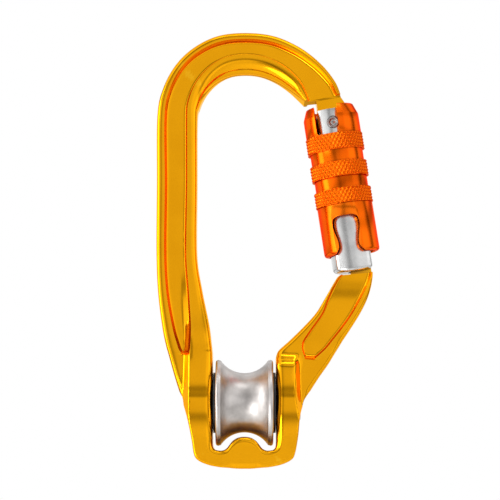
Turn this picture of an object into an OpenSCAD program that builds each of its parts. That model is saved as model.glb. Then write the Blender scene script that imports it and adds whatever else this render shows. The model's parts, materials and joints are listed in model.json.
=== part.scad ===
// Locking pulley carabiner. The origin is the anchor seat: the top of the inside of the bow.
// +Z is up, the bar's thickness lies along Y, and the gate is on the +X side.

/* [Frame] */
// Thickness of the forged bar, along Y
bar_t = 11; // [10:0.5:12]
// Thickness of the web between the bar's rims
web_t = 5.6; // [5.4:0.1:6.5]
// Depth of the pulley cheeks at the axle, along Y
cheek_depth = 19; // [17:0.5:21]
// Distance between the pulley cheeks
cheek_gap = 19.2; // [19:0.1:19.6]

/* [Sheave] */
// Diameter over the sheave's flanges
sheave_d = 26.2; // [25:0.1:26.4]
// Diameter at the bottom of the rope groove
groove_d = 18.1; // [17.6:0.1:18.6]
// Width of the sheave
sheave_w = 17.5; // [17:0.1:17.7]
// Diameter of the sheave's axle
axle_d = 8; // [7:0.5:8]

/* [Gate] */
// Tilt of the gate's axis from upright
gate_tilt = 8.53; // [7.5:0.1:9.5]
// Distance from the hinge to the gate's lower end
gate_reach = 46.3; // [46.1:0.1:46.5]
// Diameter of the gate's barrel
barrel_d = 13.5; // [13.4:0.1:13.6]
// Thickness of the frame's hinge tang
tang_t = 5.2; // [5:0.1:5.3]

/* [Sleeve] */
// Diameter over the knurled bands
band_d = 17.9; // [17.8:0.1:18.2]
// Diameter of the sleeve above and below the bands
skirt_d = 17.3; // [17.2:0.1:17.6]
// Diameter between the bands
waist_d = 16.4; // [16.4:0.1:17]
// How far the sleeve slides down before it can turn
sleeve_slide = 2.3; // [2:0.1:2.4]

/* [Hidden] */
$fn = 96;

// Centre of the gate's hinge, as X and Z, and height of the sheave's axle.
pivot = [27.3, -16.1];
axle_z = -102.1;
fit = 0.05;       // running clearance on a radius
past = 0.5;       // how far a cutter runs past the face it cuts

// The bar's edges in the XZ plane, from the hinge end over the bow and down the spine.
// Each row is [outer edge, inner edge, start of the web, end of the web], where the web's
// place is a share of the width from the outer edge.
bar_stations = [
    [[29.9, -7.3], [18.5, -9.0], 0.22, 0.70],
    [[27.9, -2.7], [16.4, -7.2], 0.25, 0.64],
    [[23.6, 2.7], [13.6, -4.9], 0.26, 0.56],
    [[17.2, 7.8], [9.6, -2.3], 0.25, 0.49],
    [[9.1, 11.4], [5.0, -0.5], 0.23, 0.45],
    [[0.2, 12.4], [0, 0], 0.22, 0.43],
    [[-8.4, 11.4], [-4.8, -0.7], 0.22, 0.44],
    [[-15.8, 7.7], [-8.8, -3.0], 0.23, 0.49],
    [[-21.4, 2.2], [-12.0, -6.6], 0.24, 0.56],
    [[-25.3, -5.3], [-13.9, -10.6], 0.24, 0.64],
    [[-27.0, -14.0], [-14.6, -15.0], 0.25, 0.69],
    [[-27.0, -35.0], [-14.6, -35.0], 0.25, 0.69],
    [[-27.0, -56.4], [-14.6, -56.4], 0.25, 0.69],
    [[-26.4, -69.0], [-13.0, -67.5], 0.28, 0.66],
    [[-25.0, -79.7], [-10.8, -78.2], 0.36, 0.58]
];
// The spine's web ends in a U at this point.
web_end = [-18.9, -86.5];

// The left cheek's outer edge, down to the bridge's corner.
cheek_outer = [[-25.0, -79.7], [-23.3, -87.6], [-18.8, -102.0], [-16.4, -110.5], [-15.2, -118.3]];
// The bridge's underside, from the left corner to the right corner.
bridge_bottom = [[-15.2, -118.3], [-11.9, -120.6], [0, -122.1], [11.9, -120.6], [15.2, -118.3]];
// The right cheek and the arm, up to the nose.
arm_outer = [
    [15.2, -118.3], [16.2, -108.5], [18.4, -101.4], [24.6, -91.9], [30.2, -83.2],
    [34.4, -76.7], [37.6, -70.6], [39.1, -65.6], [39.2, -61.0]
];
arm_inner = [[29.8, -61.0], [26.7, -66.9], [22.3, -74.3], [16.1, -81.2], [9.6, -87.1]];
spine_foot = [[-9.6, -87.1], [-9.9, -83.0], [-10.8, -78.2]];
// The arm's web, from the nose down its left side, round its end and up its right side.
arm_web = [
    [45, -58], [26, -58], [26, -68.5], [20.6, -79.0], [18.3, -84.5], [18.6, -88.6],
    [20.6, -88.2], [24.6, -83.4], [31.0, -76.2], [45, -70]
];
// Half-depth of the frame along Y, from the arm's height to the underside, as [Y, Z].
side_bulge = [
    [bar_t / 2, -78], [bar_t / 2 + 0.5, -85], [cheek_depth / 2 - 1.2, -94], [cheek_depth / 2, -102.5],
    [cheek_depth / 2 - 0.6, -111], [cheek_depth / 2 - 2.4, -118], [cheek_depth / 2 - 4.6, -122.6]
];

// Heights along the gate's axis, measured from the hinge, positive towards the bow.
bar_end_a = 8.3;        // the rims stop here and the tang goes on
fork_top_a = 4.3;
fork_half = 4.2;
collar_top_a = -4.4;
neck_top_a = -8;
neck_bottom_a = -26.5;
flange_t = 1;
tang_r = 5.4;           // the tang's round end
tang_left = 4.45;       // the tang's inner edge, kept back so that the gate can swing
heel_a = -3.95;         // flat that the plunger pushes on
plunger_x = -1.8;
plunger_r = 1.8;
plunger_bottom_a = -13;
plunger_bore_a = -24;
tip_r = 1.2;
rivet_r = 1.5;
rivet_head_r = 1.9;
neck_r = 5.3;
neck_flat = 4.7;
block_flat = 5.6;
block_side = 5.3;
fork_end_r = 5.9;       // the fork's end, struck about the hinge
head_y = 6.1;           // floor of the seats that the rivet's heads fill
head_t = 0.6;
pin_r = 0.7;
pin_a = -6.4;
pin_y = 3.5;            // inner end of the stop pin
pin_length = 4.2;

sleeve_top_a = 5.6;
sleeve_bottom_a = -40.8;
bands = [[-25.4, -20.7], [-17.1, -12.4], [-8.7, -3.6]];
mouth_r = 7.05;
cage_r = 7.4;
foot_r = barrel_d / 2 + 0.08;
snap_groove_r = 7.9;
ring_top_a = neck_top_a - 0.1;
ring_bottom_a = -12.35;
snap_a = [-13.2, -12.4];
cage_bottom_a = -28.5;
slot_angle = -105;      // the upper slot's centre, from the +X side
keyhole_angle = -98;

// Key on the frame's nose, and the pocket in the gate that takes it.
key_stem = [1.5, 43.4];     // half-thickness, and the radius from the hinge where it widens
key_head = [2.6, 41.6];     // half-thickness, and the radius of its top
key_span = [-1.5, 4.9];     // from the inner end to the outer end
key_gap = 0.3;

axle_r = axle_d / 2;
bush_r = axle_r + 1;
washer_t = 0.6;
washer_r = 9.2;
cheek_x = cheek_gap / 2;
half_w = sheave_w / 2;
seat_x = 16.3;          // bottom of the spot faces that hold the axle's heads

// Smooth curve through points a to d, between b and c.
function blend_at(a, b, c, d, t) =
    0.5 * (2 * b + (c - a) * t + (2 * a - 5 * b + 4 * c - d) * t * t + (3 * b - a - 3 * c + d) * t * t * t);

// Smooth curve through a list of points, with steps between each pair.
function curve(pts, steps = 5) = [
    for (i = [0 : len(pts) - 2], k = [0 : steps - 1])
        blend_at(pts[max(i - 1, 0)], pts[i], pts[i + 1], pts[min(i + 2, len(pts) - 1)], k / steps),
    pts[len(pts) - 1]
];
function backwards(pts) = [for (i = [len(pts) - 1 : -1 : 0]) pts[i]];
function mirrored(pts) = [for (p = pts) [-p[0], p[1]]];

// One edge of the bar, or a line inside it, at a share of its width.
function station_line(share) = [for (s = bar_stations) s[0] + (s[1] - s[0]) * share];
function web_side(k) = [for (s = bar_stations) s[0] + (s[1] - s[0]) * s[k]];

// Centre of a coil's wire, part t of the way up.
function helix_point(r, z0, z1, turns, t) =
    [r * cos(360 * turns * t), r * sin(360 * turns * t), z0 + (z1 - z0) * t];

// A closed tube along a helix, with flat ends: radius, wire radius, lowest and highest centre, turns.
module coil(r, wire_r, z0, z1, turns, rings_per_turn = 20, sides = 8) {
    rings = ceil(turns * rings_per_turn);
    points = [
        for (i = [0 : rings], j = [0 : sides - 1])
            let (t = i / rings, a = 360 * turns * t, b = 360 * j / sides, c = helix_point(r, z0, z1, turns, t))
                c + wire_r * [cos(b) * cos(a), cos(b) * sin(a), sin(b)]
    ];
    walls = [
        for (i = [0 : rings - 1], j = [0 : sides - 1])
            let (k = (j + 1) % sides)
                [i * sides + j, i * sides + k, (i + 1) * sides + k, (i + 1) * sides + j]
    ];
    start = [for (j = [sides - 1 : -1 : 0]) j];
    finish = [for (j = [0 : sides - 1]) rings * sides + j];
    polyhedron(points, concat(walls, [start], [finish]));
}

// Puts a shape drawn about the gate's own axis in its place.
module at_gate() {
    translate([pivot[0], 0, pivot[1]]) rotate([0, -gate_tilt, 0]) children();
}

// Extrudes an XZ outline along Y, centred.
module plate(t) {
    rotate([90, 0, 0]) linear_extrude(t, center = true) children();
}

// Everything between two distances from a centre line along X.
module along_x(r, x0, x1) {
    translate([x0, 0, axle_z]) rotate([0, 90, 0]) cylinder(r = r, h = x1 - x0);
}

module frame_outline() {
    polygon(concat(
        curve(station_line(0)),
        curve(cheek_outer),
        curve(bridge_bottom),
        curve(arm_outer),
        curve(arm_inner),
        curve([[9.6, -87.1], [9.6, -114.9], [8.2, -116.6], [5.4, -116.2], [3.2, -113.4], [0, -112.5]]),
        curve([[0, -112.5], [-3.2, -113.4], [-5.4, -116.2], [-8.2, -116.6], [-9.6, -114.9], [-9.6, -87.1]]),
        curve(spine_foot),
        curve(backwards(station_line(1)))
    ));
}

// The recess in each face of the bow and the spine.
module bow_web_outline() {
    polygon(concat(curve(web_side(2)), [web_end], curve(backwards(web_side(3)))));
}

// The frame's silhouette seen from the side, as [Y, Z].
module side_outline() {
    polygon(concat(
        [[-bar_t / 2, 20], [-bar_t / 2, -70]],
        curve(mirrored(side_bulge)),
        backwards(curve(side_bulge)),
        [[bar_t / 2, -70], [bar_t / 2, 20]]
    ));
}

// The tang seen from the front, about the hinge.
module tang_outline() {
    intersection() {
        union() {
            circle(r = tang_r);
            polygon([[-tang_r, 0], [tang_r, 0], [tang_r, 4], [4.9, 6.1], [3.9, 8.3], [3.6, 10], [-tang_r, 10]]);
        }
        translate([-tang_left, heel_a]) square([2 * tang_r, 16]);
    }
}

// A stretch of a plate about the hinge, between two radii and below the gate.
module hinge_arc(t, r_in, r_out, x0, x1) {
    intersection() {
        rotate([90, 0, 0]) linear_extrude(t, center = true) difference() {
            circle(r = r_out, $fn = 240);
            circle(r = r_in, $fn = 240);
        }
        translate([x0, -t, -r_out - 1]) cube([x1 - x0, 2 * t, 12]);
    }
}

module frame() {
    spot_r = axle_r + 1.4;
    color("goldenrod") difference() {
        union() {
            difference() {
                intersection() {
                    plate(cheek_depth + 2) frame_outline();
                    rotate([90, 0, 90]) linear_extrude(100, center = true) side_outline();
                }
                for (side = [-1, 1])
                    translate([0, side * (web_t / 2 + 10), 0]) plate(20) {
                        bow_web_outline();
                        polygon(arm_web);
                    }
                // The rims stop at the hinge, and the bar stops short of the gate's swing.
                at_gate() translate([-12, -15, -8]) cube([24, 30, bar_end_a + 8]);
                at_gate() hinge_arc(40, 30, gate_reach + 0.2, -14, 12);
            }
            at_gate() plate(tang_t) tang_outline();
            at_gate() hinge_arc(2 * key_stem[0], key_stem[1] - 0.2, gate_reach + 2, key_span[0], key_span[1]);
            at_gate() hinge_arc(2 * key_head[0], key_head[1], key_stem[1], key_span[0], key_span[1]);
        }
        at_gate() rotate([90, 0, 0]) cylinder(r = rivet_r + fit, h = 20, center = true);
        along_x(axle_r, -30, 30);
        along_x(spot_r, seat_x, 30);
        along_x(spot_r, -30, -seat_x);
    }
}

module sheave() {
    groove_r = 8.1;
    groove_centre = groove_d / 2 + groove_r;
    tip_r = sheave_d / 2;
    shoulder = tip_r - 0.7;
    edge = sqrt(groove_r * groove_r - (groove_centre - shoulder) * (groove_centre - shoulder));
    spread = asin(edge / groove_r);
    groove = [for (a = [-spread : spread / 12 : spread]) [groove_centre - groove_r * cos(a), groove_r * sin(a)]];
    color("silver") translate([0, 0, axle_z]) rotate([0, 90, 0]) rotate_extrude(convexity = 4) polygon(concat(
        [[bush_r, -half_w], [shoulder - 0.3, -half_w], [tip_r - 0.3, -half_w + 0.4], [tip_r, -half_w + 0.9]],
        groove,
        [[tip_r, half_w - 0.9], [tip_r - 0.3, half_w - 0.4], [shoulder - 0.3, half_w], [bush_r, half_w]]
    ));
}

// One of the two plain bushes pressed into the sheave from its ends.
module sheave_bush(side) {
    color("darkgoldenrod") translate([side * (half_w / 2 + 0.15), 0, axle_z]) rotate([0, 90, 0]) difference() {
        cylinder(r = bush_r, h = half_w - 0.5, center = true);
        cylinder(r = axle_r + fit, h = sheave_w, center = true);
    }
}
module sheave_bush_left() { sheave_bush(-1); }
module sheave_bush_right() { sheave_bush(1); }

module sheave_axle() {
    head_r = axle_r + 1.3;
    color("gray") {
        along_x(axle_r, -seat_x, seat_x);
        along_x(head_r, seat_x, seat_x + 0.8);
        along_x(head_r, -seat_x - 0.8, -seat_x);
    }
}

// A thin washer that floats between the sheave and a cheek.
module thrust_washer(side) {
    color("dimgray") translate([side * (cheek_x + half_w) / 2, 0, axle_z]) rotate([0, 90, 0]) difference() {
        cylinder(r = washer_r, h = washer_t, center = true);
        cylinder(r = axle_r + fit, h = 2 * washer_t, center = true);
    }
}
module thrust_washer_left() { thrust_washer(-1); }
module thrust_washer_right() { thrust_washer(1); }

module gate_body() {
    barrel_r = barrel_d / 2;
    slot_r = tang_r + 0.2;
    slot_t = tang_t + 0.16;
    color("gainsboro") at_gate() difference() {
        union() {
            // Fork cheeks, rounded so that they pass under the bow's rims.
            intersection() {
                translate([0, 0, collar_top_a]) cylinder(r = barrel_r, h = fork_top_a - collar_top_a);
                translate([-fork_half, -barrel_r, collar_top_a])
                    cube([2 * fork_half, 2 * barrel_r, fork_top_a - collar_top_a]);
                plate(40) circle(r = fork_end_r);
            }
            translate([0, 0, neck_top_a]) cylinder(r = barrel_r, h = collar_top_a - neck_top_a);
            intersection() {
                translate([0, 0, neck_bottom_a - past]) cylinder(r = neck_r, h = neck_top_a - neck_bottom_a + 1);
                translate([-10, -neck_flat, neck_bottom_a - 1]) cube([20, 2 * neck_flat, 30]);
            }
            translate([0, 0, neck_bottom_a - flange_t]) cylinder(r = barrel_r, h = flange_t);
            // Lower block, flat in front and behind, with its end struck about the hinge.
            intersection() {
                translate([0, 0, -gate_reach - 1]) cylinder(r = barrel_r, h = gate_reach + neck_bottom_a + 1);
                translate([-10, -block_flat, -50]) cube([20, 2 * block_flat, 40]);
                plate(40) circle(r = gate_reach, $fn = 240);
            }
        }
        plate(slot_t) {
            circle(r = slot_r);
            translate([-10, 0]) square([20, 10]);
        }
        rotate([90, 0, 0]) cylinder(r = rivet_r, h = 20, center = true);
        for (side = [-1, 1])
            translate([0, side * (head_y + 2), 0]) rotate([90, 0, 0]) cylinder(r = rivet_head_r, h = 4, center = true);
        translate([plunger_x, 0, plunger_bore_a]) cylinder(r = plunger_r, h = 20);
        translate([0, pin_y, pin_a]) rotate([-90, 0, 0]) cylinder(r = pin_r, h = 5);
        // The block's outer side lies flush with the arm.
        translate([block_side, -10, -50]) cube([10, 20, 50 - key_stem[1]]);
        hinge_arc(2 * (key_stem[0] + key_gap), key_stem[1] - 1, gate_reach + 2, key_span[0] - 0.6, 20);
        hinge_arc(2 * (key_head[0] + key_gap), key_head[1] - key_gap, key_stem[1] + key_gap, key_span[0] - 0.6, 20);
    }
}

module gate_hinge_rivet() {
    color("lightgray") at_gate() difference() {
        union() {
            rotate([90, 0, 0]) cylinder(r = rivet_r, h = 2 * head_y + 0.2, center = true);
            for (side = [-1, 1])
                translate([0, side * (head_y + head_t / 2), 0]) rotate([90, 0, 0])
                    cylinder(r = rivet_head_r, h = head_t, center = true);
        }
        // Dimple left by the riveting punch.
        for (side = [-1, 1])
            translate([0, side * (head_y + head_t + 0.6), 0]) sphere(r = 1);
    }
}

module gate_plunger() {
    top = heel_a - fit;
    color("slategray") at_gate() translate([plunger_x, 0, 0]) {
        translate([0, 0, plunger_bottom_a]) cylinder(r = plunger_r - fit, h = 6.5);
        translate([0, 0, plunger_bottom_a]) cylinder(r = tip_r, h = top - tip_r - plunger_bottom_a);
        translate([0, 0, top - tip_r]) sphere(r = tip_r);
    }
}

module gate_spring() {
    wire_r = 0.28;
    color("lightsteelblue") at_gate() translate([plunger_x, 0, 0])
        coil(1.3, wire_r, plunger_bore_a + 0.05 + wire_r, plunger_bottom_a - 0.05 - wire_r, 9, 14, 6);
}

// A rectangle with rounded lower corners, open at the top.
module slot_outline(width, bottom, top, corner) {
    translate([-width / 2, bottom + corner]) square([width, top - bottom - corner]);
    translate([-width / 2 + corner, bottom]) square([width - 2 * corner, top - bottom]);
    for (side = [-1, 1])
        translate([side * (width / 2 - corner), bottom + corner]) circle(r = corner, $fn = 32);
}

// Cuts a front outline through one side of the sleeve's wall.
module through_wall(angle) {
    rotate([0, 0, angle + 90]) translate([0, -4, 0]) rotate([90, 0, 0]) linear_extrude(8) children();
}

module lock_sleeve() {
    band_r = band_d / 2;
    skirt_r = skirt_d / 2;
    waist_r = waist_d / 2;
    top_slot_w = 7.2;
    top_slot_bottom = -3.6;
    keyhole = [[2.6, -29.2], [3.9, -30.3], [4.15, -32.4], [3.6, -35.6], [3.15, -37.6], [3.5, -39.4], [4.9, -41]];
    pocket_start = 82;
    pocket_turn = 91;
    color("darkorange") at_gate() difference() {
        rotate_extrude(convexity = 6) polygon(concat(
            [[foot_r, sleeve_bottom_a], [skirt_r - 0.8, sleeve_bottom_a], [skirt_r, sleeve_bottom_a + 0.8]],
            [for (i = [0 : 2]) each [
                [i == 0 ? skirt_r : waist_r, bands[i][0]], [band_r, bands[i][0] + 0.3],
                [band_r, bands[i][1] - 0.3], [i == 2 ? skirt_r : waist_r, bands[i][1]]
            ]],
            [[skirt_r, 3.2], [7.9, sleeve_top_a], [mouth_r + 0.5, sleeve_top_a], [mouth_r, sleeve_top_a - 1.4]],
            [[mouth_r, neck_top_a - 0.05], [cage_r, neck_top_a - 0.05], [cage_r, snap_a[1]]],
            [[snap_groove_r, snap_a[1]], [snap_groove_r, snap_a[0]], [cage_r, snap_a[0]]],
            [[cage_r, cage_bottom_a], [foot_r, cage_bottom_a]]
        ));
        through_wall(slot_angle) slot_outline(top_slot_w, top_slot_bottom, sleeve_top_a + 2, 0.9);
        through_wall(keyhole_angle) polygon(concat(curve(keyhole), curve(backwards(mirrored(keyhole)))));
        // Pocket that the stop pin moves in.
        rotate([0, 0, pocket_start]) rotate_extrude(angle = pocket_turn)
            translate([6.5, pin_a - pin_r - 0.2]) square([1.5, sleeve_slide + 2 * pin_r + 0.4]);
    }
}

module sleeve_guide_ring() {
    ring_h = ring_top_a - ring_bottom_a;
    color("ivory") at_gate() translate([0, 0, ring_bottom_a]) difference() {
        cylinder(r = cage_r - 0.08, h = ring_h);
        intersection() {
            translate([0, 0, -past]) cylinder(r = neck_r + 0.06, h = ring_h + 2 * past);
            translate([-10, -neck_flat - 0.06, -1]) cube([20, 2 * (neck_flat + 0.06), ring_h + 2]);
        }
    }
}

module sleeve_snap_ring() {
    gap_angle = 30;
    color("dimgray") at_gate() rotate([0, 0, 90 + gap_angle / 2]) rotate_extrude(angle = 360 - gap_angle)
        translate([6.9, snap_a[0] + fit]) square([snap_groove_r - 6.9 - fit, snap_a[1] - snap_a[0] - 2 * fit]);
}

module sleeve_spring() {
    wire_r = 0.4;
    color("lightsteelblue") at_gate()
        coil(5.95, wire_r, neck_bottom_a + 0.05 + wire_r, ring_bottom_a - 0.05 - wire_r, 6, 24, 8);
}

module sleeve_stop_pin() {
    color("gray") at_gate() translate([0, pin_y, pin_a]) rotate([-90, 0, 0]) cylinder(r = pin_r, h = pin_length);
}

frame();
sheave();
sheave_bush_left();
sheave_bush_right();
sheave_axle();
thrust_washer_left();
thrust_washer_right();
gate_body();
gate_hinge_rivet();
gate_plunger();
gate_spring();
lock_sleeve();
sleeve_guide_ring();
sleeve_snap_ring();
sleeve_spring();
sleeve_stop_pin();
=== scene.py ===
"""Locking pulley carabiner: forged frame, turned sheave, silver gate and knurled locking sleeve."""

import json
import math

import bmesh
import bpy
from mathutils import Matrix, Vector


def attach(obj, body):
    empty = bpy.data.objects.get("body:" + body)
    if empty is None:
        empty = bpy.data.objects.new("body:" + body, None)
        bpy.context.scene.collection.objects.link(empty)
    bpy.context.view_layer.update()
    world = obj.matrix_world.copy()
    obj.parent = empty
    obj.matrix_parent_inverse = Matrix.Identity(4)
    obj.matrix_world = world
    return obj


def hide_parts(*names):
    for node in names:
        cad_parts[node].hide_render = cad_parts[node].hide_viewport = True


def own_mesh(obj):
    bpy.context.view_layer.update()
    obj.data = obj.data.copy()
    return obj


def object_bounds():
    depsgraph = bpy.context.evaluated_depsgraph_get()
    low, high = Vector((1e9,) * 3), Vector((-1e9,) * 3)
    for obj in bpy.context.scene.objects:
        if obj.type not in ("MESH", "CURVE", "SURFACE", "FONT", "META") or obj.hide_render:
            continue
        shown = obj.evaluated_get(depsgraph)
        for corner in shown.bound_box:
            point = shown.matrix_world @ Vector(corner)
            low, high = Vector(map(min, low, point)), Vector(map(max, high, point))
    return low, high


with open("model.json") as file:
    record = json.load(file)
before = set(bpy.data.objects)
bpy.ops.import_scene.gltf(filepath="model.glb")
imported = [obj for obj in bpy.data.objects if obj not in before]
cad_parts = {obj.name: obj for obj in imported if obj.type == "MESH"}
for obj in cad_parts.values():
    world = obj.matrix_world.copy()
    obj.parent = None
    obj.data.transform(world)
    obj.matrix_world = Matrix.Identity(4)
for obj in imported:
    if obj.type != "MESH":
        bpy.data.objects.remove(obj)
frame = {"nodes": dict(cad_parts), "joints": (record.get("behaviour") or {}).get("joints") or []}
CAD_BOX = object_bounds()

MM = 0.001


# ---------------------------------------------------------------- geometry from the frame

def joint(name):
    return next(j for j in frame["joints"] if j["name"] == name)


HINGE = Vector(joint("gate_swing")["pos_m"]) / MM
DOWN_GATE = Vector(joint("sleeve_slide")["axis"]).normalized()
AXLE_Z = joint("sheave_spin")["pos_m"][2] / MM

# The gate's own axes: across it, through it, and up it towards the bow, with the hinge at zero.
UP_GATE = -DOWN_GATE
ACROSS_GATE = Vector((0, 1, 0)).cross(UP_GATE)
GATE = Matrix.Translation(HINGE) @ Matrix((ACROSS_GATE, Vector((0, 1, 0)), UP_GATE)).transposed().to_4x4()


def smooth(lo, hi, t):
    """0 below lo, 1 above hi, and an S curve between."""
    t = min(1.0, max(0.0, (t - lo) / (hi - lo)))
    return t * t * (3 - 2 * t)


def spline(rows, steps):
    """Smooth curve through rows of numbers, with so many steps between each pair."""
    rows = [list(r) for r in rows]
    out = []
    for i in range(len(rows) - 1):
        a, b = rows[max(i - 1, 0)], rows[i]
        c, d = rows[i + 1], rows[min(i + 2, len(rows) - 1)]
        for k in range(steps):
            t = k / steps
            out.append([
                0.5 * (2 * q + (r - p) * t + (2 * p - 5 * q + 4 * r - s) * t * t
                       + (3 * q - p - 3 * r + s) * t ** 3)
                for p, q, r, s in zip(a, b, c, d)
            ])
    out.append(rows[-1])
    return out


def level(knots, z):
    """Value at z on a smooth curve through knots of (z, value), held level beyond both ends."""
    if z <= knots[0][0]:
        return knots[0][1]
    for i, ((z0, v0), (z1, v1)) in enumerate(zip(knots, knots[1:])):
        if z <= z1:
            before, after = knots[max(i - 1, 0)], knots[min(i + 2, len(knots) - 1)]
            slope0 = (v1 - before[1]) / (z1 - before[0])
            slope1 = (after[1] - v0) / (after[0] - z0)
            t, run = (z - z0) / (z1 - z0), z1 - z0
            return (v0 * (1 + 2 * t) * (1 - t) ** 2 + v1 * t * t * (3 - 2 * t)
                    + run * t * (1 - t) * (slope0 * (1 - t) - slope1 * t))
    return knots[-1][1]


# ---------------------------------------------------------------- mesh helpers

def piece(name, verts, faces, body, slot, material, stands_for=(), crease=35.0):
    """A closed mesh in millimetres, as a piece in metres on its body."""
    mesh = bpy.data.meshes.new(name)
    mesh.from_pydata([tuple(c * MM for c in v) for v in verts], [], faces)
    mesh.validate()
    obj = bpy.data.objects.new(name, mesh)
    bpy.context.scene.collection.objects.link(obj)
    mend(obj, crease)
    return finish_piece(obj, body, material, stands_for)


def finish_piece(obj, body, material, stands_for=()):
    obj.data.materials.clear()
    obj.data.materials.append(material)
    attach(obj, body)
    if stands_for:
        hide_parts(*stands_for)
    return obj


def mend(obj, crease):
    """Merges doubled points, turns the faces outwards and keeps edges sharper than crease degrees."""
    bm = bmesh.new()
    bm.from_mesh(obj.data)
    bmesh.ops.remove_doubles(bm, verts=bm.verts, dist=1e-7)
    bmesh.ops.dissolve_degenerate(bm, dist=1e-7, edges=bm.edges)
    bmesh.ops.recalc_face_normals(bm, faces=bm.faces)
    limit = math.radians(crease)
    for f in bm.faces:
        f.smooth = True
    for e in bm.edges:
        e.smooth = len(e.link_faces) == 2 and e.calc_face_angle(0) < limit
    bm.to_mesh(obj.data)
    bm.free()


def join_rings(rings, closed=False):
    """Quads between rings of equal length. The ends are capped unless the rings close on themselves."""
    n = len(rings[0])
    verts = [p for ring in rings for p in ring]
    faces = []
    for i in range(len(rings) if closed else len(rings) - 1):
        a, b = i * n, (i + 1) % len(rings) * n
        faces += [(a + j, a + (j + 1) % n, b + (j + 1) % n, b + j) for j in range(n)]
    if not closed:
        faces.append(tuple(range(n)))
        faces.append(tuple(range(len(verts) - n, len(verts)))[::-1])
    return verts, faces


def merge(*meshes):
    """Several (verts, faces) as one."""
    verts, faces = [], []
    for v, f in meshes:
        faces += [tuple(i + len(verts) for i in face) for face in f]
        verts += v
    return verts, faces


def turned(profile, segments, place=Matrix(), ripple=None):
    """A closed turned ring: profile is (radius, height) pairs about the place's Z. ripple may move the radius."""
    rings = []
    for k in range(segments):
        a = 2 * math.pi * k / segments
        ring = []
        for r, h in profile:
            if ripple:
                r += ripple(r, h, a)
            ring.append(place @ Vector((r * math.cos(a), r * math.sin(a), h)))
        rings.append(ring)
    return join_rings(rings, closed=True)


def prism(outline, y0, y1, place=Matrix()):
    """An outline in the place's XZ plane, made solid from y0 to y1."""
    rings = [[place @ Vector((x, y, z)) for x, z in outline] for y in (y0, y1)]
    return join_rings(rings)


def disc_outline(radius, segments=64):
    turns = [2 * math.pi * k / segments for k in range(segments)]
    return [(radius * math.cos(a), radius * math.sin(a)) for a in turns]


def sector(r_in, r_out, x0, x1, half, steps=10):
    """A block struck about the hinge between two radii."""
    xs = [x0 + (x1 - x0) * k / steps for k in range(steps + 1)]
    low = [(x, -math.sqrt(r_out ** 2 - x * x)) for x in xs]
    high = [(x, -math.sqrt(r_in ** 2 - x * x)) for x in reversed(xs)]
    return prism(low + high, -half, half, GATE)


def cutter(name, mesh):
    """A solid that only cuts others."""
    verts, faces = mesh
    data = bpy.data.meshes.new(name)
    data.from_pydata([tuple(c * MM for c in v) for v in verts], [], faces)
    obj = bpy.data.objects.new(name, data)
    bpy.context.scene.collection.objects.link(obj)
    mend(obj, 30)
    return obj


def bake(obj):
    """Applies the modifiers on obj."""
    data = bpy.data.meshes.new_from_object(obj.evaluated_get(bpy.context.evaluated_depsgraph_get()))
    obj.modifiers.clear()
    obj.data = data


def shape(obj, operation, *tools):
    """Cuts the tools away from obj (DIFFERENCE), or keeps only what lies inside each (INTERSECT)."""
    for tool in tools:
        mod = obj.modifiers.new("shape", "BOOLEAN")
        mod.operation = operation
        mod.solver = "EXACT"
        mod.object = tool
    bake(obj)
    for tool in tools:
        bpy.data.objects.remove(tool)


def break_edges(obj, width, angle=30.0, segments=3):
    """Takes the sharpness off machined edges."""
    mod = obj.modifiers.new("broken edges", "BEVEL")
    mod.width = width * MM
    mod.segments = segments
    mod.limit_method = "ANGLE"
    mod.angle_limit = math.radians(angle)
    mod.use_clamp_overlap = True
    bake(obj)


# ---------------------------------------------------------------- materials

NOISE, RAMP, RANGE, BUMP = "ShaderNodeTexNoise", "ShaderNodeValToRGB", "ShaderNodeMapRange", "ShaderNodeBump"
MATH, MIX, BACKGROUND = "ShaderNodeMath", "ShaderNodeMix", "ShaderNodeBackground"
SHARE_IN, FIRST_IN, SECOND_IN, COLOUR_OUT = 0, 6, 7, 2    # sockets of a mix node that mixes colours


def linear(hex_colour):
    """sRGB hex to linear RGBA."""
    channels = [int(hex_colour[i:i + 2], 16) / 255 for i in (1, 3, 5)]
    return (*[c / 12.92 if c <= 0.04045 else ((c + 0.055) / 1.055) ** 2.4 for c in channels], 1.0)


def grey(v):
    return (v, v, v, 1.0)


def add(tree, kind, settings=()):
    """Adds a node. Each setting is a property or an input, by its name or number: a socket is linked to the input
    and any other value is set. The stops of a colour ramp are (position, colour) pairs."""
    n = tree.nodes.new(kind)
    for key, value in dict(settings).items():
        if key == "stops":
            while len(n.color_ramp.elements) < len(value):
                n.color_ramp.elements.new(0.5)
            for stop, (position, colour) in zip(n.color_ramp.elements, value):
                stop.position = position
                stop.color = colour
        elif isinstance(value, bpy.types.NodeSocket):
            tree.links.new(value, n.inputs[key])
        elif isinstance(key, int) or key in n.inputs.keys():
            n.inputs[key].default_value = value
        else:
            setattr(n, key, value)
    return n


def new_material(name):
    """An empty material, its node tree and the object's own coordinates, in metres."""
    mat = bpy.data.materials.new(name)
    mat.use_nodes = True
    tree = mat.node_tree
    tree.nodes.clear()
    return mat, tree, add(tree, "ShaderNodeTexCoord").outputs["Object"]


def surfaced(mat, settings):
    """The material, with its surface set so."""
    shader = add(mat.node_tree, "ShaderNodeBsdfPrincipled", settings)
    add(mat.node_tree, "ShaderNodeOutputMaterial", {"Surface": shader.outputs["BSDF"]})
    return mat


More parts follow.
